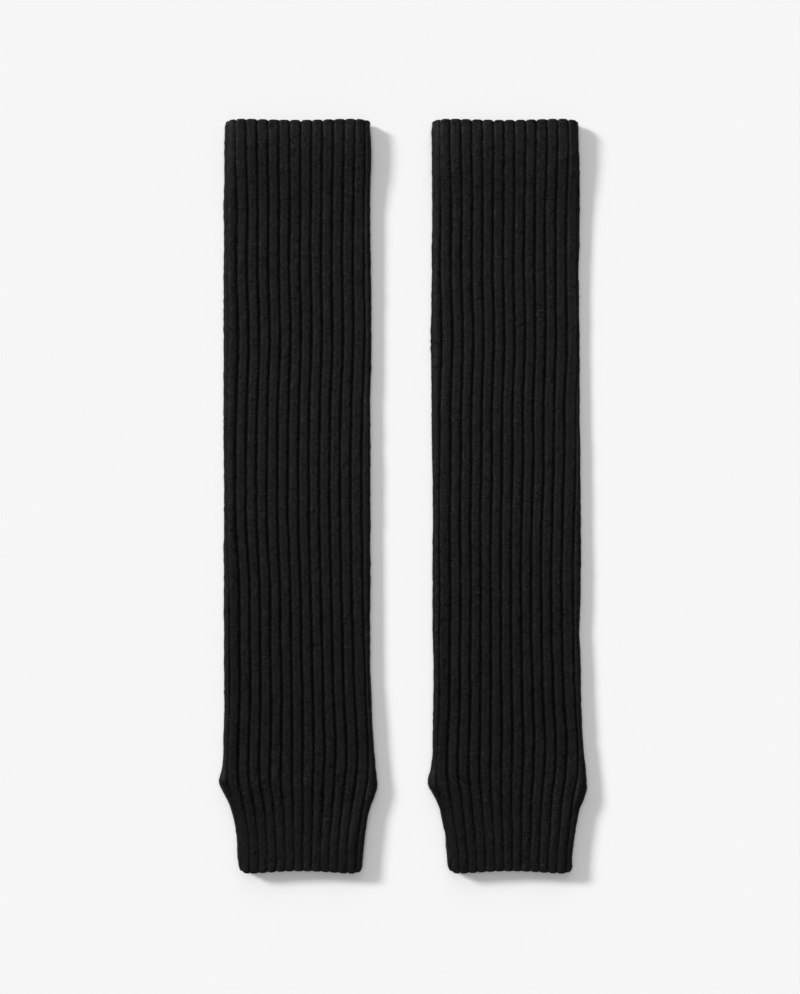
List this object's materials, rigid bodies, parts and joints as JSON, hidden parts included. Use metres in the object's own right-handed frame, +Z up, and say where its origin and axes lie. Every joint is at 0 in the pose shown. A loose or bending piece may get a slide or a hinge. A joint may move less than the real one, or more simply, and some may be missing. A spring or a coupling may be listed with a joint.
{
  "type": "pair of ribbed pilates socks laid flat",
  "caption": "Black ribbed knit pilates socks laid flat side by side: long open leg tubes with an open heel and an open toe.",
  "frame": {"origin": "middle of the pair's footprint, on the surface that it lies on", "axes": "+Y towards the knee ends, +X towards the right-hand sock, +Z up through the front of the socks"},
  "size_m": [0.2928, 0.6004, 0.0145],
  "materials": {
    "rib_knit": "matt black rib knit"
  },
  "bodies": {
    "root": {"sock_left": "rib_knit", "sock_right": "rib_knit"}
  },
  "joints": []
}
